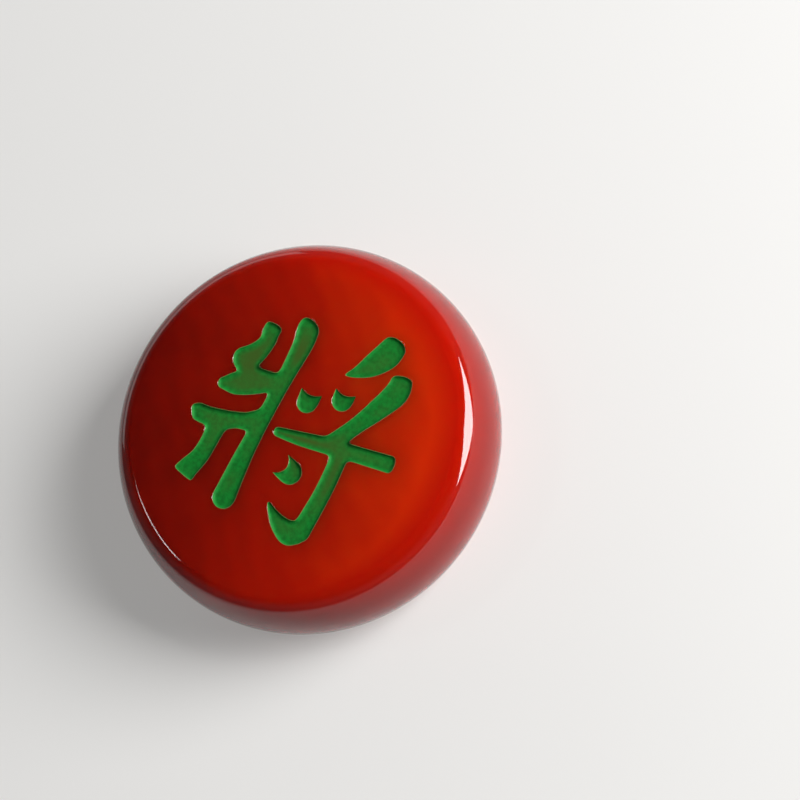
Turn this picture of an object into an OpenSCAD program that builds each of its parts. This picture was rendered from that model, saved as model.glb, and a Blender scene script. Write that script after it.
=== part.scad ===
// Xiangqi piece: a polished agate disc with its rank sign engraved in one face
// and green paint lining the grooves of the sign.
// The disc lies flat with the sign face up. The origin is at the middle of the
// underside, and the sign reads upright along +Y.

/* [Disc] */
// Diameter over the bulge of the rim
disc_d = 50; // [46:0.5:60]
// Thickness from face to face
disc_h = 13.5; // [10:0.5:16]
// Radius of the bulge of the rim, seen in section
rim_r = 11; // [9:0.5:20]
// Radius of the polished round between a face and the rim
edge_r = 2.5; // [1:0.1:4]

/* [Sign] */
// Side of the square that the sign is drawn in
sign_side = 30; // [26:0.5:33]
// Width of a stroke at full brush pressure
brush_w = 3; // [2.4:0.1:3.2]

/* [Groove] */
// Depth of the engraving below the face
groove_depth = 0.6; // [0.5:0.05:1.5]
// Thickness of the paint on the floor and the walls
paint_t = 0.2; // [0.1:0.02:0.24]

/* [Hidden] */

stone_red = "#a01808";
paint_green = "#1c6b2c";

$fn = 96;
// How far the cutting shapes run out above the face
cut_over = 0.5;
// Points along each stretch of a stroke, and round each of its ends
stretch_steps = 4;
end_steps = 6;
// Narrowest width that a stroke keeps at its floor
least_w = 0.16;

// The sign is drawn on a grid of 30 cells with its middle at the middle of the face
grid_cells = 30;
cell = sign_side / grid_cells;

// Section of the disc: the edge round meets the rim arc and the face without a corner
rim_x = disc_d / 2 - rim_r;
mid_z = disc_h / 2;
edge_x = rim_x + sqrt(pow(rim_r - edge_r, 2) - pow(mid_z - edge_r, 2));
rim_half = rim_r * (mid_z - edge_r) / (rim_r - edge_r);

// Strokes of the sign
// A stroke is [stations, start bulge, end bulge]. A station is [x, y, pressure]
// in grid cells, along the middle of the stroke, and its width is the pressure
// times brush_w. An end bulge of 1 is a half round, 0 is cut straight, and a
// value below 0 is hollow.

left_upright = [[[-3.8, 12.55, 0.95], [-3.9, 11.9, 1.02], [-3.6, 9.8, 0.93], [-3.7, 5, 0.74],
                 [-3.8, 0, 0.68], [-3.95, -5.5, 0.82], [-3.75, -11.6, 1.05]], 0.4, 1];
left_bend = [[[-8.25, 10.4, 0.82], [-8.28, 9.5, 0.8], [-8.1, 8.3, 0.74], [-8.85, 6.3, 1],
              [-9.95, 4.95, 1.14]], 0.35, 0.8];
left_bridge = [[[-9.3, 3.8, 0.8], [-7, 3.7, 0.85], [-3.7, 4.1, 0.85]], 0.5, 0];
left_leaf = [[[-11.1, 1.2, 0.52], [-9.4, 1.9, 1], [-6.8, 3, 0.95], [-3.9, 4.3, 0.6]], 0.8, 0];
left_crossbar = [[[-12.85, -3.72, 0.68], [-12.2, -3.38, 0.78], [-11, -3.35, 0.8], [-8.4, -2.8, 0.8],
                  [-6.8, -2.2, 0.72], [-5.6, -1.8, 0.8], [-3.8, -0.8, 0.95]], 0.2, 0];
left_fall = [[[-9.1, -3.2, 0.95], [-9.05, -6, 0.8], [-9.25, -8.3, 0.83], [-9.95, -10.3, 0.96],
              [-10.2, -11.25, 1.03]], 0, 0.1];

top_sweep = [[[7.6, 14.5, 1.13], [7.15, 12.9, 1.23], [5.85, 10.9, 0.97], [4.5, 9.45, 0.48],
              [3.4, 8.65, 0.1]], 0.55, 0.5];

left_dot = [[[0.5, 3.55, 0.96], [0.43, 5.1, 1]], 1, -0.38];
right_dot = [[[4.62, 5.58, 0.95], [4.56, 6.85, 0.97]], 1, -0.38];
lower_dot = [[[2.75, -5.3, 1.05], [0.88, -4.75, 0.98]], 1, -0.77];

long_sweep = [[[10.5, 11.05, 0.95], [10.6, 9.2, 1.11], [9.3, 6.3, 0.94], [7.75, 3.4, 0.75],
               [5.8, 0, 0.8]], 0.35, 0.5];
cross_arm = [[[-1.4, -1.38, 0.42], [1.5, -1, 0.6], [5, -0.4, 0.71], [9, 0.2, 0.71], [14.3, 0.95, 0.76]],
             0.75, 0.4];
hook_shaft = [[[7.5, 0.4, 0.76], [7.8, -3, 0.78], [7.85, -6.5, 0.79], [7.55, -11.5, 0.88]], 0, 0.9];
hook_foot = [[[7.5, -11.9, 0.76], [6.3, -12.1, 1.05], [4.55, -11.6, 0.77], [3, -10.65, 0.4],
              [1.95, -9.75, 0.12]], 0.8, 0.5];

left_radical = [left_upright, left_bend, left_bridge, left_leaf, left_crossbar, left_fall];
cross_and_hook = [long_sweep, cross_arm, hook_shaft, hook_foot];
stroke_groups = [left_radical, [top_sweep], [left_dot], [right_dot], cross_and_hook, [lower_dot]];

// Point on a smooth curve through p1 and p2, with p0 and p3 as their neighbours
function curve_point(p0, p1, p2, p3, t) =
    0.5 * (2 * p1 + t * (p2 - p0) + t * t * (2 * p0 - 5 * p1 + 4 * p2 - p3)
           + t * t * t * (3 * p1 - p0 - 3 * p2 + p3));

// Stations of a stroke with smooth ones added between them
function smooth(s) = let (last = len(s) - 1) concat(
    [for (i = [0 : last - 1], j = [0 : stretch_steps - 1])
        curve_point(s[max(i - 1, 0)], s[i], s[i + 1], s[min(i + 2, last)], j / stretch_steps)],
    [s[last]]);

function unit(v) = v / norm(v);
function flat(p) = [p[0], p[1]];
function across(v) = [-v[1], v[0]];

// Direction of the stroke at each smooth station
function headings(p) = let (last = len(p) - 1)
    [for (i = [0 : last]) unit(flat(p[min(i + 1, last)]) - flat(p[max(i - 1, 0)]))];

// Stations with the first and the last drawn in along the stroke
function shortened(s, first, end) =
    let (last = len(s) - 1, d0 = unit(flat(s[1]) - flat(s[0])), d1 = unit(flat(s[last]) - flat(s[last - 1])))
    [for (i = [0 : last])
        i == 0 ? s[0] + first * [d0[0], d0[1], 0] : i == last ? s[last] - end * [d1[0], d1[1], 0] : s[i]];

// Half round, straight or hollow end, from the stroke's one side to its other
function stroke_end(mid, heading, half, bulge) =
    [for (k = [0 : end_steps])
        let (a = 180 * k / end_steps)
        mid + half * (cos(a) * across(-heading) + bulge * sin(a) * heading)];

// Closed outline of a stroke in millimetres, drawn in by inset all round
function outline(stroke, inset) =
    let (s = shortened(stroke[0], inset / cell * (1 - stroke[1]), inset / cell * (1 - stroke[2])),
         p = smooth(s), h = headings(p), last = len(p) - 1,
         half = [for (q = p) max(q[2] * brush_w / 2 - inset, least_w / 2)])
    concat(
        [for (i = [1 : last - 1]) cell * flat(p[i]) - half[i] * across(h[i])],
        stroke_end(cell * flat(p[last]), h[last], half[last], stroke[2]),
        [for (i = [last - 1 : -1 : 1]) cell * flat(p[i]) + half[i] * across(h[i])],
        stroke_end(cell * flat(p[0]), -h[0], half[0], stroke[1]));

// Sunk shape of a group of strokes, from depth below the face up to height top
module strokes_below(strokes, inset, depth, top) {
    translate([0, 0, disc_h - depth])
        linear_extrude(top - disc_h + depth)
            for (s = strokes)
                polygon(outline(s, inset));
}

// Half section of the disc, to be turned about the Z axis
module disc_section() {
    intersection() {
        translate([rim_x, mid_z])
            circle(rim_r);
        translate([0, mid_z - rim_half])
            square([disc_d, 2 * rim_half]);
    }
    for (z = [edge_r, disc_h - edge_r])
        translate([edge_x, z])
            circle(edge_r);
    square([edge_x, disc_h]);
}

module agate_disc() {
    color(stone_red)
        difference() {
            rotate_extrude()
                disc_section();
            for (group = stroke_groups)
                strokes_below(group, 0, groove_depth, disc_h + cut_over);
        }
}

// Paint in a group of grooves: it lines their floor and walls up to the face
module paint(strokes) {
    color(paint_green)
        difference() {
            strokes_below(strokes, 0, groove_depth, disc_h);
            strokes_below(strokes, paint_t, groove_depth - paint_t, disc_h + cut_over);
        }
}

module paint_left_radical() { paint(left_radical); }
module paint_top_sweep() { paint([top_sweep]); }
module paint_left_dot() { paint([left_dot]); }
module paint_right_dot() { paint([right_dot]); }
module paint_cross_and_hook() { paint(cross_and_hook); }
module paint_lower_dot() { paint([lower_dot]); }

agate_disc();
paint_left_radical();
paint_top_sweep();
paint_left_dot();
paint_right_dot();
paint_cross_and_hook();
paint_lower_dot();
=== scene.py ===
"""Looks of a xiangqi piece: a polished red agate disc with an engraved sign lined with green paint.

The file is laid out as an add-on and run as a script. Shapes are modelled in millimetres and
scaled to metres when a piece is finished.
"""

import math

import bmesh
import bpy
from bpy.props import FloatProperty, FloatVectorProperty, PointerProperty
from mathutils import Matrix, Vector
from mathutils.geometry import interpolate_bezier
from mathutils.kdtree import KDTree


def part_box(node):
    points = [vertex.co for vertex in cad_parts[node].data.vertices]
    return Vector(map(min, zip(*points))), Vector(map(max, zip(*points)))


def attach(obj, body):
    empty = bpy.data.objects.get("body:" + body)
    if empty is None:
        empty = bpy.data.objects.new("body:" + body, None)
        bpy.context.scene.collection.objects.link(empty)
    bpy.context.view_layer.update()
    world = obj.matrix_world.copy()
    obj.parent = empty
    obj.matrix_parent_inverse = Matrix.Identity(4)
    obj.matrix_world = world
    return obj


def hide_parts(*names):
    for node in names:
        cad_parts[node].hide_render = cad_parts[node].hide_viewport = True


bl_info = {
    "name": "Agate xiangqi piece",
    "version": (1, 0, 0),
    "blender": (4, 5, 0),
    "location": "3D View > Sidebar > Xiangqi",
    "description": "Builds a polished agate disc with a painted, engraved sign in its face",
    "category": "Mesh",
}

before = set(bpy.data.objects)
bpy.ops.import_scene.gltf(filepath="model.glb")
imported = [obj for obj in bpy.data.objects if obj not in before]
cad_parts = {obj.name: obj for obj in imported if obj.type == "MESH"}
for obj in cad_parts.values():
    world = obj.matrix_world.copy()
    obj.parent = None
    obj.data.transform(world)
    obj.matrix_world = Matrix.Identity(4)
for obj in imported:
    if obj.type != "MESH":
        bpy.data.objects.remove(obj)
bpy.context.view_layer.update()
DISC_LOW, DISC_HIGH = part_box("agate_disc")
GROOVE_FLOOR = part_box("paint_left_radical")[0].z

MM = 0.001
PAINT_NODES = (
    "paint_left_radical",
    "paint_top_sweep",
    "paint_left_dot",
    "paint_right_dot",
    "paint_cross_and_hook",
    "paint_lower_dot",
)
# Where the paint was wiped thin: place on the face and reach, in millimetres
WIPED_PLACES = ((-8.6, 4.2, 7.5), (-3.5, 9.2, 4), (2, -0.8, 5.5), (7.6, -4, 6))

# Fineness of the shapes: millimetres between the points of a groove's outline, and steps of the spins
OUTLINE_SPACING = 0.18
TURN_STEPS = 288
EDGE_STEPS = 16
RIM_STEPS = 32
# An outline that turns by more than this at a point keeps its corner there
SHARP_TURN = math.radians(33)
# Share of the room across a groove that its section may take, and the furthest that one step may reach
SECTION_SHARE = 0.9
REACH_SHARE = 0.95
# Distances down a groove's wall, in millimetres: where the paint starts, swells, is at full thickness, and
# may begin its foot
PAINT_START, PAINT_SWELL, PAINT_FULL, PAINT_FOOT = 0.05, 0.06, 0.13, 0.15
# Gap between paint and stone, in millimetres, and between paper and piece, so that no faces coincide
HAIR = 0.012
FLOOR_GAP = 0.02 * MM
# Width of the turned border of the face, in millimetres
FACE_BORDER = 0.5
# Distance of the lamps from the piece, in metres
LAMP_DISTANCE = 0.6


def linear(hex_code):
    """Linear red, green and blue of an sRGB hex colour"""
    levels = [int(hex_code[i:i + 2], 16) / 255 for i in (1, 3, 5)]
    return tuple(c / 12.92 if c <= 0.04045 else ((c + 0.055) / 1.055) ** 2.4 for c in levels)


def length(name, description, default):
    """A length property, in metres"""
    return FloatProperty(name=name, description=description, default=default, min=0, precision=5,
                         unit="LENGTH")


def colour(name, description, hex_code):
    """A colour property, from an sRGB hex value"""
    return FloatVectorProperty(name=name, description=description, default=linear(hex_code), min=0, max=1,
                               size=3, subtype="COLOR")


def angle(name, description, degrees):
    """An angle property, from degrees"""
    return FloatProperty(name=name, description=description, default=math.radians(degrees), subtype="ANGLE")


class StoneSettings(bpy.types.PropertyGroup):
    """Sizes and colours of the agate disc"""

    diameter: length("Diameter", "Width over the bulge of the rim", DISC_HIGH.x - DISC_LOW.x)
    thickness: length("Thickness", "Height from face to face", DISC_HIGH.z - DISC_LOW.z)
    rim_radius: length("Rim radius", "Radius of the bulge of the rim in section", 11 * MM)
    edge_radius: length("Edge radius", "Radius of the round between a face and the rim", 2.5 * MM)
    glow_depth: length("Glow depth", "How far red light spreads inside the stone", 16 * MM)
    # Deep red is also painted shade round the rim
    # From deep red to orange red the stone turns warmer and lighter towards the key softbox: partly its own
    # zoning, partly painted light
    deep_red: colour("Deep red", "Darkest zone of the stone, and its skin round the rim", "#680903")
    blood_red: colour("Blood red", "Main colour of the stone", "#a01404")
    orange_red: colour("Orange red", "Warmest zone of the stone", "#c52a05")


class SignSettings(bpy.types.PropertyGroup):
    """Sizes and colours of the engraving and its paint"""

    depth: length("Depth", "Depth of the grooves below the face", DISC_HIGH.z - GROOVE_FLOOR)
    wall_run: length("Wall run", "How far a groove's wall leans in from lip to floor", 0.24 * MM)
    lip_round: length("Lip round", "Width of the polished round along a groove's lip", 0.09 * MM)
    floor_round: length("Floor round", "Width of the round between a groove's wall and floor", 0.2 * MM)
    film: length("Paint on the walls", "Thickness of the paint on the walls", 0.06 * MM)
    pool: length("Paint on the floor", "Thickness of the paint on the floor", 0.26 * MM)
    thin_from: length("Thin paint from", "Distance from the lip at which the paint is thinnest", 1.0 * MM)
    green: colour("Green", "Paint at full thickness", "#0c7627")
    dark_green: colour("Dark green", "Paint that has pooled", "#0c621f")
    olive: colour("Olive", "Paint so thin that the stone shows through", "#36551a")
    # Pale along the lips: partly worn paint, partly a painted highlight
    wear_and_highlight: colour("Worn edge", "Paint rubbed back along the lip", "#758f51")


class StageSettings(bpy.types.PropertyGroup):
    """Floor, studio light and camera"""

    floor: colour("Floor", "Colour of the paper under the piece", "#e4e3e1")
    key_light: FloatProperty(name="Key light", description="Brightness of the softbox on the right",
                             default=15.5, min=0)
    glint_light: FloatProperty(name="Glint light", description="Brightness of the strip on the left",
                               default=10, min=0)
    fill_light: FloatProperty(name="Fill light", description="Brightness of the board on the left",
                              default=1.2, min=0)
    surround: FloatProperty(name="Surround", description="Brightness of the room near the horizon",
                            default=0.18, min=0)
    overhead: FloatProperty(name="Overhead", description="Brightness of the room above the piece",
                            default=0.02, min=0)
    elevation: angle("Camera elevation", "Height of the camera above the face", 67.75)
    azimuth: angle("Camera azimuth", "Side of the piece that the camera stands on", -13.44)
    roll: angle("Camera roll", "Turn of the picture", -39.43)
    distance: length("Camera distance", "From the middle of the piece to the camera", 400 * MM)
    shift_right: length("Camera shift right", "How far the camera stands to the right", 11.6 * MM)
    shift_up: length("Camera shift up", "How far the camera stands upwards in the picture", 4.84 * MM)
    lens: FloatProperty(name="Lens", description="Focal length of the camera", default=142.3, min=1,
                        unit="CAMERA")


def add_node(tree, kind, inputs=None, stops=None, **settings):
    """Adds a node, sets it up, and fills its inputs with plain values or with links"""
    node = tree.nodes.new(kind)
    for name, value in settings.items():
        setattr(node, name, value)
    for name, value in (inputs or {}).items():
        if isinstance(value, bpy.types.NodeSocket):
            tree.links.new(value, node.inputs[name])
        else:
            node.inputs[name].default_value = value
    for index, (position, shade) in enumerate(stops or ()):
        stop = node.color_ramp.elements[index] if index < 2 else node.color_ramp.elements.new(position)
        stop.position = position
        stop.color = (*shade, 1)
    return node


def new_material(name):
    """An empty node material and its node tree"""
    material = bpy.data.materials.new(name)
    material.use_nodes = True
    material.node_tree.nodes.clear()
    return material, material.node_tree


def polished_carnelian(stone):
    """Carnelian agate, ground and polished to a mirror: clear, glassy, lit from within"""
    material, tree = new_material("polished carnelian agate")
    place = add_node(tree, "ShaderNodeTexCoord").outputs["Object"]

    # Colour zones cross the stone slowly, warmer and lighter towards the key softbox on the right: partly the
    # stone's own zoning, partly painted light, the lamp's glow through the stone. Clouds about 11 mm wide
    # break them up
    clouds = add_node(tree, "ShaderNodeTexNoise", {
        "Vector": place, "Scale": 1 / (11 * MM), "Detail": 3, "Roughness": 0.5, "Distortion": 0.6,
    }).outputs["Fac"]
    zone = add_node(tree, "ShaderNodeVectorMath", {
        0: place, 1: (0.91, 0.41, 0),
    }, operation="DOT_PRODUCT").outputs["Value"]
    zoning_and_glow = add_node(tree, "ShaderNodeMapRange", {
        "Value": zone, "From Min": -22.5 * MM, "From Max": 21 * MM,
    }).outputs["Result"]
    drift = add_node(tree, "ShaderNodeMapRange", {
        "Value": clouds, "From Min": 0.3, "From Max": 0.7, "To Min": -0.06, "To Max": 0.06,
    }).outputs["Result"]

    # Painted shade: the colour is made deepest round the rim, darkening the rim that the lamps light, and
    # this caps the zones there
    spread = add_node(tree, "ShaderNodeVectorMath", {
        0: place, 1: (1, 1, 0),
    }, operation="MULTIPLY").outputs["Vector"]
    radius = add_node(tree, "ShaderNodeVectorMath", {0: spread}, operation="LENGTH").outputs["Value"]
    painted_rim_shade = add_node(tree, "ShaderNodeMapRange", {
        "Value": radius, "From Min": 18 * MM, "From Max": 24.5 * MM, "To Min": 0.95, "To Max": 0.2,
    }).outputs["Result"]

    # Growth bands, about 5 mm apart and wavy, are only just seen
    bands = add_node(tree, "ShaderNodeTexWave", {
        "Vector": place, "Scale": 2 * math.pi / (10 * 5 * MM), "Distortion": 6, "Detail": 2,
        "Detail Scale": 0.6,
    }, bands_direction="DIAGONAL").outputs["Fac"]
    ripple = add_node(tree, "ShaderNodeMapRange", {
        "Value": bands, "To Min": -0.02, "To Max": 0.02,
    }).outputs["Result"]
    shade = add_node(tree, "ShaderNodeMath", {0: zoning_and_glow, 1: drift}, operation="ADD").outputs["Value"]
    shade = add_node(tree, "ShaderNodeMath", {0: shade, 1: ripple}, operation="ADD").outputs["Value"]
    shade = add_node(tree, "ShaderNodeMath", {
        0: shade, 1: painted_rim_shade, 2: 0.1,
    }, operation="SMOOTH_MIN").outputs["Value"]
    base = add_node(tree, "ShaderNodeValToRGB", {"Fac": shade}, stops=[
        (0.05, stone.deep_red), (0.95, stone.orange_red), (0.55, stone.blood_red),
    ]).outputs["Color"]

    # The polish is a little duller in faint patches, and not quite flat
    haze = add_node(tree, "ShaderNodeTexNoise", {
        "Vector": place, "Scale": 1 / (6 * MM), "Detail": 2,
    }).outputs["Fac"]
    gloss = add_node(tree, "ShaderNodeMapRange", {
        "Value": haze, "To Min": 0.02, "To Max": 0.06,
    }).outputs["Result"]
    waver = add_node(tree, "ShaderNodeBump", {"Height": haze, "Strength": 0.1, "Distance": 0.01 * MM})

    shader = add_node(tree, "ShaderNodeBsdfPrincipled", {
        "Base Color": base, "Roughness": gloss, "IOR": 1.54, "Normal": waver.outputs["Normal"],
        "Subsurface Weight": 1, "Subsurface Radius": (1, 0.2, 0.05), "Subsurface Scale": stone.glow_depth,
    })
    add_node(tree, "ShaderNodeOutputMaterial", {"Surface": shader.outputs["BSDF"]})
    return material


def rubbed_enamel(sign, face):
    """Oil enamel brushed into the grooves and wiped off the face: satin, uneven, thin along the lips"""
    material, tree = new_material("rubbed green enamel")
    place = add_node(tree, "ShaderNodeTexCoord").outputs["Object"]

    # The paint pools along the walls and is thin in the middle of a floor, in patches about 5 mm across
    # and most of all in a few places where it was wiped
    patches = add_node(tree, "ShaderNodeTexNoise", {
        "Vector": place, "Scale": 1 / (5 * MM), "Detail": 3, "Roughness": 0.55,
    }).outputs["Fac"]
    streaks = add_node(tree, "ShaderNodeMapRange", {
        "Value": patches, "From Min": 0.42, "From Max": 0.66, "To Max": 0.4,
    }).outputs["Result"]
    for x, y, reach in WIPED_PLACES:
        away = add_node(tree, "ShaderNodeVectorMath", {
            0: place, 1: (x * MM, y * MM, face),
        }, operation="DISTANCE").outputs["Value"]
        wiped = add_node(tree, "ShaderNodeMapRange", {
            "Value": away, "From Min": reach * MM, "From Max": 0, "To Max": 0.8,
        }, interpolation_type="SMOOTHSTEP").outputs["Result"]
        streaks = add_node(tree, "ShaderNodeMath", {
            0: streaks, 1: wiped,
        }, operation="ADD", use_clamp=True).outputs["Value"]
    coat = add_node(tree, "ShaderNodeAttribute", attribute_name="coat").outputs["Fac"]
    thin = add_node(tree, "ShaderNodeMath", {0: 1.0, 1: coat}, operation="SUBTRACT").outputs["Value"]
    thin = add_node(tree, "ShaderNodeMath", {0: thin, 1: streaks}, operation="MULTIPLY").outputs["Value"]
    marks = add_node(tree, "ShaderNodeTexNoise", {
        "Vector": place, "Scale": 1 / (0.6 * MM), "Detail": 3, "Roughness": 0.6,
    }).outputs["Fac"]
    full = add_node(tree, "ShaderNodeValToRGB", {"Fac": marks}, stops=[
        (0.35, sign.dark_green), (0.6, sign.green),
    ]).outputs["Color"]
    base = add_node(tree, "ShaderNodeMix", {"Factor": thin, 6: full, 7: (*sign.olive, 1)},
                    data_type="RGBA").outputs[2]

    # The topmost 0.1 mm of the walls turns pale: partly paint rubbed back when the face was wiped clean,
    # partly a painted highlight where the lips catch the light
    height = add_node(tree, "ShaderNodeSeparateXYZ", {"Vector": place}).outputs["Z"]
    rubbed_and_highlit = add_node(tree, "ShaderNodeMapRange", {
        "Value": height, "From Min": face - 0.12 * MM, "From Max": face - 0.03 * MM, "To Max": 0.7,
    }).outputs["Result"]
    base = add_node(tree, "ShaderNodeMix", {"Factor": rubbed_and_highlit, 6: base, 7: (*sign.wear_and_highlight, 1)},
                    data_type="RGBA").outputs[2]

    gloss = add_node(tree, "ShaderNodeMapRange", {
        "Value": marks, "To Min": 0.5, "To Max": 0.7,
    }).outputs["Result"]
    relief = add_node(tree, "ShaderNodeBump", {"Height": marks, "Strength": 0.3, "Distance": 0.05 * MM})
    shader = add_node(tree, "ShaderNodeBsdfPrincipled", {
        "Base Color": base, "Roughness": gloss, "IOR": 1.48, "Specular IOR Level": 0.15,
        "Normal": relief.outputs["Normal"],
    })
    add_node(tree, "ShaderNodeOutputMaterial", {"Surface": shader.outputs["BSDF"]})
    return material


def matt_paper(stage):
    """Matt studio paper: even and pale, with no gloss"""
    material, tree = new_material("matt studio paper")
    paper = add_node(tree, "ShaderNodeBsdfPrincipled", {
        "Base Color": (*stage.floor, 1), "Roughness": 0.9, "Specular IOR Level": 0.1,
    })

    # A third of what is seen of the paper is its own colour, so that the shadow on it stays light
    path = add_node(tree, "ShaderNodeLightPath").outputs
    seen = add_node(tree, "ShaderNodeMath", {
        0: path["Is Camera Ray"], 1: path["Is Glossy Ray"],
    }, operation="ADD").outputs["Value"]
    seen = add_node(tree, "ShaderNodeMath", {
        0: seen, 1: path["Is Transmission Ray"],
    }, operation="ADD", use_clamp=True).outputs["Value"]
    third = add_node(tree, "ShaderNodeMath", {0: seen, 1: 0.33}, operation="MULTIPLY").outputs["Value"]
    glow = add_node(tree, "ShaderNodeEmission", {"Color": (*stage.floor, 1), "Strength": 1})
    shown = add_node(tree, "ShaderNodeMixShader", {
        "Fac": third, 1: paper.outputs["BSDF"], 2: glow.outputs["Emission"],
    })
    add_node(tree, "ShaderNodeOutputMaterial", {"Surface": shown.outputs["Shader"]})
    return material


def finish_piece(bm, name, material, node):
    """Closes a modelled piece, scales it to metres and hangs it on the frame in place of a CAD node"""
    bmesh.ops.recalc_face_normals(bm, faces=bm.faces)
    bmesh.ops.scale(bm, vec=(MM, MM, MM), verts=bm.verts)
    for face in bm.faces:
        level = abs(face.normal.z) > 0.99999
        face.smooth = not level
    mesh = bpy.data.meshes.new(name)
    bm.to_mesh(mesh)
    bm.free()
    mesh.materials.append(material)
    piece = bpy.data.objects.new(name, mesh)
    bpy.context.scene.collection.objects.link(piece)
    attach(piece, "root")
    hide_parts(node)
    return piece


def groove_corners():
    """Corner points of each groove's outline on the face of the CAD disc, in millimetres"""
    bm = bmesh.new()
    bm.from_mesh(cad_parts["agate_disc"].data)
    bmesh.ops.remove_doubles(bm, verts=bm.verts, dist=1e-6)
    bmesh.ops.scale(bm, vec=(1 / MM, 1 / MM, 1 / MM), verts=bm.verts)

    # A lip is an edge in the plane of the face at which the surface turns down by more than a radian
    just_below = DISC_HIGH.z / MM - 0.001
    lips = [e for e in bm.edges if min(v.co.z for v in e.verts) > just_below and e.calc_face_angle(0) > 1]
    loops = []
    while lips:
        loop = list(lips.pop(0).verts)
        while loop[-1] is not loop[0]:
            edge = next(e for e in loop[-1].link_edges if e in lips)
            lips.remove(edge)
            loop.append(edge.other_vert(loop[-1]))
        loops.append([v.co.copy() for v in loop[1:]])
    bm.free()
    return loops


def turn_at(points, i):
    """Angle by which a closed outline turns at one of its points"""
    before = points[i] - points[i - 1]
    after = points[(i + 1) % len(points)] - points[i]
    return before.angle(after, 0)


def even_outline(corners, spacing):
    """Evenly spaced points on a smooth curve through the corners of a closed outline"""
    count = len(corners)
    area = sum(corners[i - 1].cross(corners[i]).z for i in range(count))
    if area < 0:
        corners = corners[::-1]
    heading = [(corners[(i + 1) % count] - corners[i - 1]).normalized() for i in range(count)]
    sharp = [turn_at(corners, i) > SHARP_TURN for i in range(count)]
    path = []
    curve_points = 9
    for i in range(count):
        j = (i + 1) % count
        step = corners[j] - corners[i]
        leave = step / 3 if sharp[i] else heading[i] * step.length / 3
        arrive = step / 3 if sharp[j] else heading[j] * step.length / 3
        curve = corners[i], corners[i] + leave, corners[j] - arrive, corners[j]
        path += interpolate_bezier(*curve, curve_points)[:-1]
    path.append(path[0])
    lengths = [(b - a).length for a, b in zip(path, path[1:])]
    total = sum(lengths)
    stride = total / round(total / spacing)
    points, walked, due = [], 0.0, 0.0
    for a, b, size in zip(path, path[1:], lengths):
        while due < walked + size - 1e-9 and due < total - stride / 2:
            points.append(a.lerp(b, (due - walked) / size))
            due += stride
        walked += size
    return points


def softened(points):
    """The outline with its ends eased, and its inner corners rounded as a turning cutter leaves them"""
    count = len(points)
    near = 3
    turns = [(points[i] - points[i - near]).cross(points[(i + near) % count] - points[i]).z
             for i in range(count)]
    bm = bmesh.new()
    ring = [bm.verts.new(p) for p in points]
    for i, vert in enumerate(ring):
        bm.edges.new((ring[i - 1], vert))
    inner = [v for i, v in enumerate(ring) if min(turns[(i + k) % count] for k in range(-2, 3)) < -0.1]

    # The inner corners get many more passes than the rest
    for verts, passes in ((ring, 2), (inner, 10), (ring, 1)):
        for _ in range(passes):
            bmesh.ops.smooth_vert(bm, verts=verts, factor=0.5, use_axis_x=True, use_axis_y=True)
    smooth = [v.co.copy() for v in ring]
    bm.free()
    return smooth


def groove_spots(points, run):
    """Points of an outline, each with the way into the groove, the room there and how much of the run fits"""
    count = len(points)
    tree = KDTree(count)
    for i, point in enumerate(points):
        tree.insert(point, i)
    tree.balance()
    inward, reach = [], []
    most_room, least_room, slack, shrink = 2.0, 0.02, 0.97, 0.94
    for i, point in enumerate(points):
        along = (points[(i + 1) % count] - points[i - 1]).normalized()
        inward.append(Vector((-along.y, along.x, 0)))

        # The room is the radius of the largest circle that touches the outline here and holds none of it
        room = most_room
        while room > least_room and tree.find(point + inward[i] * room)[2] < slack * room:
            room *= shrink
        reach.append(room)
    least = [min(reach[(i + k) % count] for k in range(-2, 3)) for i in range(count)]
    rooms = [sum(least[(i + k) % count] for k in range(-3, 4)) / 7 for i in range(count)]
    return [(p, way, room, min(1, SECTION_SHARE * room / run)) for p, way, room in zip(points, inward, rooms)]


def paint_foot(sign):
    """Width of the round between the paint on a wall and on the floor, in millimetres"""
    return 1.6 * sign.floor_round / MM


def sign_grooves(sign):
    """Spots round the outline of each groove, by the name of the paint node that fills it"""
    run = (sign.wall_run + sign.film) / MM + paint_foot(sign)
    grooves = {}
    for corners in groove_corners():
        low = Vector((min(c.x for c in corners), min(c.y for c in corners))) * MM
        node = min(PAINT_NODES, key=lambda n: (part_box(n)[0].xy - low).length)
        grooves[node] = groove_spots(softened(even_outline(corners, OUTLINE_SPACING)), run)
    if sorted(grooves) != sorted(PAINT_NODES):
        raise RuntimeError("the face of the disc does not hold one groove for each paint node")
    return {node: grooves[node] for node in PAINT_NODES}


def rounded_corner(before, corner, after, steps):
    """Points of a round that replaces a corner of a section"""
    a, c, b = (Vector((*p, 0)) for p in (before, corner, after))
    return [p.xy for p in interpolate_bezier(a, a.lerp(c, 0.6), b.lerp(c, 0.6), b, steps + 1)]


def groove_section(sign):
    """Section of a groove from the face to its floor, as (inset from the outline, drop below the face)"""
    depth, run = sign.depth / MM, sign.wall_run / MM
    lip, foot = sign.lip_round / MM, sign.floor_round / MM
    wall = Vector((run, depth)).normalized()
    corner = Vector((run, depth))
    lip_points = rounded_corner((-lip, 0), (0, 0), wall * lip, 4)
    foot_points = rounded_corner(corner - wall * foot, corner, corner + Vector((foot, 0)), 4)
    edge_of_face = Vector((-lip - 0.06, 0))
    return [edge_of_face] + lip_points + foot_points


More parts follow.
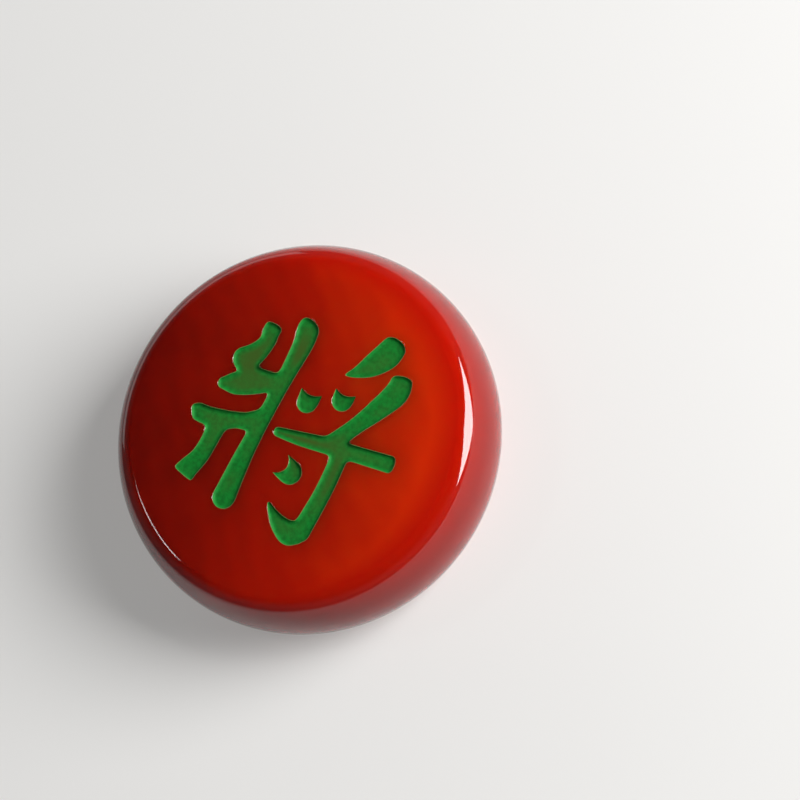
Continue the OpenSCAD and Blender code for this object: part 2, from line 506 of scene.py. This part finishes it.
def film_section(sign):
    """Section of the paint's free surface from the lip to the middle of the floor"""
    depth, run = (sign.depth - sign.pool) / MM, sign.wall_run / MM
    wall = Vector((run, sign.depth / MM)).normalized()
    film = Vector((sign.film / MM, 0))
    foot, reach = paint_foot(sign), depth / wall.y
    corner = film + wall * reach
    lip_points = rounded_corner(wall * PAINT_START, film + wall * PAINT_SWELL, film + wall * PAINT_FULL, 3)
    foot_start = corner - wall * min(foot, reach - PAINT_FOOT)
    foot_points = rounded_corner(foot_start, corner, corner + Vector((foot, 0)), 5)
    return lip_points + foot_points + [Vector((sign.thin_from / MM, depth))]


def film_back(sign):
    """Section of the paint where it lies on the stone, a hair above the groove's wall and floor"""
    depth, run = sign.depth / MM - HAIR, sign.wall_run / MM
    foot = sign.floor_round / MM
    wall = Vector((run, sign.depth / MM)).normalized()
    corner = Vector((run + HAIR, depth))
    foot_points = rounded_corner(corner - wall * foot, corner, corner + Vector((foot, 0)), 4)
    return [wall * PAINT_START, wall * 0.2 + Vector((HAIR, 0))] + foot_points


def spot_at(spot, step, face):
    """Point of a groove at one step of its section; narrow places are drawn in and made shallower"""
    point, inward, room, fit = spot
    inset, drop = step
    if inset > 0:
        inset = min(inset * fit, REACH_SHARE * room)
    return Vector((*(point + inward * inset).xy, face - drop * math.sqrt(fit)))


def first_ring(bm, spots, step, face):
    """A closed ring of vertices round a groove"""
    ring = [bm.verts.new(spot_at(s, step, face)) for s in spots]
    for i, vert in enumerate(ring):
        bm.edges.new((ring[i - 1], vert))
    return ring


def ring_edges(bm, ring):
    """Edges of a closed ring of vertices"""
    return [bm.edges.get((ring[i - 1], vert)) for i, vert in enumerate(ring)]


def sink(bm, ring, spots, section, face, coat=None):
    """Extrudes a ring down a groove's section and fills its floor; coat is a layer that fades to the floor"""
    for step in section:
        made = bmesh.ops.extrude_edge_only(bm, edges=ring_edges(bm, ring))["geom"]
        fresh = {v for v in made if isinstance(v, bmesh.types.BMVert)}
        ring = [next(e.other_vert(v) for e in v.link_edges if e.other_vert(v) in fresh) for v in ring]
        for vert, spot in zip(ring, spots):
            vert.co = spot_at(spot, step, face)
            if coat:
                vert[coat] = 1 - (step.x / section[-1].x) ** 2
    bmesh.ops.triangle_fill(bm, use_beauty=True, edges=ring_edges(bm, ring), normal=(0, 0, 1))


def spin_stone(bm, stone):
    """Turns the underside, the rim with its edge rounds and a border of the face; returns the open edges"""
    radius, mid = stone.diameter / MM / 2, stone.thickness / MM / 2
    rim, edge = stone.rim_radius / MM, stone.edge_radius / MM
    lean = math.asin((mid - edge) / (rim - edge))
    edge_x = radius - rim + (rim - edge) * math.cos(lean)
    border = edge_x - FACE_BORDER
    path = [bm.verts.new((x, 0, 0)) for x in (0, border, edge_x)]
    bm.edges.new(path[:2])
    bm.edges.new(path[1:])
    tip = path[2]
    for centre, sweep, steps in (
        ((edge_x, 0, edge), math.pi / 2 - lean, EDGE_STEPS),
        ((radius - rim, 0, mid), 2 * lean, RIM_STEPS),
        ((edge_x, 0, 2 * mid - edge), math.pi / 2 - lean, EDGE_STEPS),
    ):
        turned = bmesh.ops.spin(bm, geom=[tip], cent=centre, axis=(0, -1, 0), angle=sweep, steps=steps)
        tip = turned["geom_last"][0]
    last = bm.verts.new((border, 0, 2 * mid))
    bm.edges.new((tip, last))
    bmesh.ops.spin(bm, geom=bm.verts[:] + bm.edges[:], cent=(0, 0, 0), axis=(0, 0, 1), angle=2 * math.pi,
                   steps=TURN_STEPS, use_merge=True)
    bmesh.ops.remove_doubles(bm, verts=bm.verts, dist=1e-4)
    return [e for e in bm.edges if e.is_boundary]


class PIECE_OT_agate_disc(bpy.types.Operator):
    """Build the polished disc with the sign engraved in its face"""

    bl_idname = "piece.agate_disc"
    bl_label = "Agate disc"

    def execute(self, context):
        stone, sign = context.scene.piece_stone, context.scene.piece_sign
        face = stone.thickness / MM
        bm = bmesh.new()
        rims = spin_stone(bm, stone)
        section = groove_section(sign)
        for spots in sign_grooves(sign).values():
            ring = first_ring(bm, spots, section[0], face)
            rims += ring_edges(bm, ring)
            sink(bm, ring, spots, section[1:], face)
        bmesh.ops.triangle_fill(bm, use_beauty=True, edges=rims, normal=(0, 0, 1))
        finish_piece(bm, "polished_disc", polished_carnelian(stone), "agate_disc")
        return {"FINISHED"}


class PIECE_OT_groove_paint(bpy.types.Operator):
    """Lay the green paint in each group of grooves"""

    bl_idname = "piece.groove_paint"
    bl_label = "Paint in the grooves"

    def execute(self, context):
        stone, sign = context.scene.piece_stone, context.scene.piece_sign
        face = stone.thickness / MM
        enamel = rubbed_enamel(sign, stone.thickness)
        surface, back = film_section(sign), film_back(sign)
        for node, spots in sign_grooves(sign).items():
            bm = bmesh.new()
            coat = bm.verts.layers.float.new("coat")
            ring = first_ring(bm, spots, surface[0], face)
            for vert in ring:
                vert[coat] = 1
            sink(bm, ring, spots, surface[1:], face, coat)
            sink(bm, ring, spots, back[1:], face)
            finish_piece(bm, node.replace("paint", "enamel"), enamel, node)
        return {"FINISHED"}


def aim(direction, roll):
    """Turn that faces an object's back along a direction, with a roll about it"""
    return direction.to_track_quat("Z", "Y").to_matrix() @ Matrix.Rotation(roll, 3, "Z")


def softbox(name, azimuth, elevation, roll, size, brightness):
    """A rectangular lamp that faces the piece; angles are in degrees, and its size is in metres"""
    across, along = math.radians(azimuth), math.radians(elevation)
    away = Vector((math.cos(along) * math.cos(across), math.cos(along) * math.sin(across), math.sin(along)))
    lamp = bpy.data.lights.new(name, "AREA")
    lamp.shape = "RECTANGLE"
    lamp.size, lamp.size_y = size
    lamp.energy = brightness * math.pi * size[0] * size[1]
    holder = bpy.data.objects.new(name, lamp)
    holder.matrix_world = Matrix.Translation(away * LAMP_DISTANCE) @ aim(away, math.radians(roll)).to_4x4()
    holder.visible_camera = False
    bpy.context.scene.collection.objects.link(holder)


class PIECE_OT_stage(bpy.types.Operator):
    """Set the paper floor, the studio light and the camera"""

    bl_idname = "piece.stage"
    bl_label = "Stage"

    def execute(self, context):
        stage = context.scene.piece_stage
        context.scene.view_settings.view_transform = "Standard"

        bm = bmesh.new()
        bmesh.ops.create_grid(bm, x_segments=1, y_segments=1, size=12)
        bmesh.ops.translate(bm, vec=(0, 0, DISC_LOW.z - FLOOR_GAP), verts=bm.verts)
        mesh = bpy.data.meshes.new("floor")
        bm.to_mesh(mesh)
        bm.free()
        mesh.materials.append(matt_paper(stage))
        floor = bpy.data.objects.new("floor", mesh)
        context.scene.collection.objects.link(floor)

        # The softbox hangs corner down on the right, a thin strip glints along the lower left edge,
        # and a dim board stands on the left
        softbox("key softbox", 39.5, 29.5, 45, (0.44, 0.36), stage.key_light)
        softbox("glint strip", -160.5, 59.3, -20, (0.142, 0.024), stage.glint_light)
        softbox("fill board", 165, 14, 0, (0.7, 0.2), stage.fill_light)

        # The room is dim near the horizon and darker overhead, so that the face, which mirrors it, stays red;
        # heights are sines
        world = bpy.data.worlds.new("studio room")
        world.use_nodes = True
        tree = world.node_tree
        tree.nodes.clear()
        way = add_node(tree, "ShaderNodeTexCoord").outputs["Generated"]
        height = add_node(tree, "ShaderNodeSeparateXYZ", {"Vector": way}).outputs["Z"]
        level = add_node(tree, "ShaderNodeMapRange", {
            "Value": height, "From Min": 0.45, "From Max": 0.85,
            "To Min": stage.surround, "To Max": stage.overhead,
        }, interpolation_type="SMOOTHSTEP").outputs["Result"]
        glow = add_node(tree, "ShaderNodeBackground", {"Strength": level})
        add_node(tree, "ShaderNodeOutputWorld", {"Surface": glow.outputs["Background"]})
        context.scene.world = world

        # The camera's turn follows the photo: the sign leans, and the rim shows at the lower right
        lift, side = stage.elevation, stage.azimuth
        back = Vector((math.cos(lift) * math.cos(side), math.cos(lift) * math.sin(side), math.sin(lift)))
        near = Vector((math.cos(side), math.sin(side), 0))
        near = (near - back * near.dot(back)).normalized()
        cross = back.cross(near)
        right = near * math.cos(stage.roll) - cross * math.sin(stage.roll)
        up = near * math.sin(stage.roll) + cross * math.cos(stage.roll)
        middle = Vector((0, 0, context.scene.piece_stone.thickness / 2))
        eye = middle + back * stage.distance + right * stage.shift_right + up * stage.shift_up
        view = bpy.data.cameras.new("photo camera")
        view.lens = stage.lens
        view.clip_start = 0.01
        camera = bpy.data.objects.new("photo camera", view)
        turn = Matrix((right, up, back)).transposed()
        camera.matrix_world = Matrix.Translation(eye) @ turn.to_4x4()
        context.scene.collection.objects.link(camera)
        context.scene.camera = camera
        return {"FINISHED"}


class PIECE_PT_looks(bpy.types.Panel):
    """Sizes, colours and build steps of the piece"""

    bl_idname = "PIECE_PT_looks"
    bl_label = "Xiangqi piece"
    bl_space_type = "VIEW_3D"
    bl_region_type = "UI"
    bl_category = "Xiangqi"

    def draw(self, context):
        for group, step in (
            (context.scene.piece_stone, PIECE_OT_agate_disc),
            (context.scene.piece_sign, PIECE_OT_groove_paint),
            (context.scene.piece_stage, PIECE_OT_stage),
        ):
            box = self.layout.box()
            for name in group.bl_rna.properties.keys():
                if name not in ("rna_type", "name"):
                    box.prop(group, name)
            box.operator(step.bl_idname)


CLASSES = (
    StoneSettings,
    SignSettings,
    StageSettings,
    PIECE_OT_agate_disc,
    PIECE_OT_groove_paint,
    PIECE_OT_stage,
    PIECE_PT_looks,
)


def register():
    """Registers the settings, the build steps and the panel"""
    for cls in CLASSES:
        bpy.utils.register_class(cls)
    bpy.types.Scene.piece_stone = PointerProperty(type=StoneSettings)
    bpy.types.Scene.piece_sign = PointerProperty(type=SignSettings)
    bpy.types.Scene.piece_stage = PointerProperty(type=StageSettings)


def unregister():
    """Takes the settings, the build steps and the panel away again"""
    del bpy.types.Scene.piece_stage
    del bpy.types.Scene.piece_sign
    del bpy.types.Scene.piece_stone
    for cls in reversed(CLASSES):
        bpy.utils.unregister_class(cls)


def main():
    """Builds the piece and its stage"""
    register()
    bpy.ops.piece.agate_disc()
    bpy.ops.piece.groove_paint()
    bpy.ops.piece.stage()


if __name__ == "__main__":
    main()
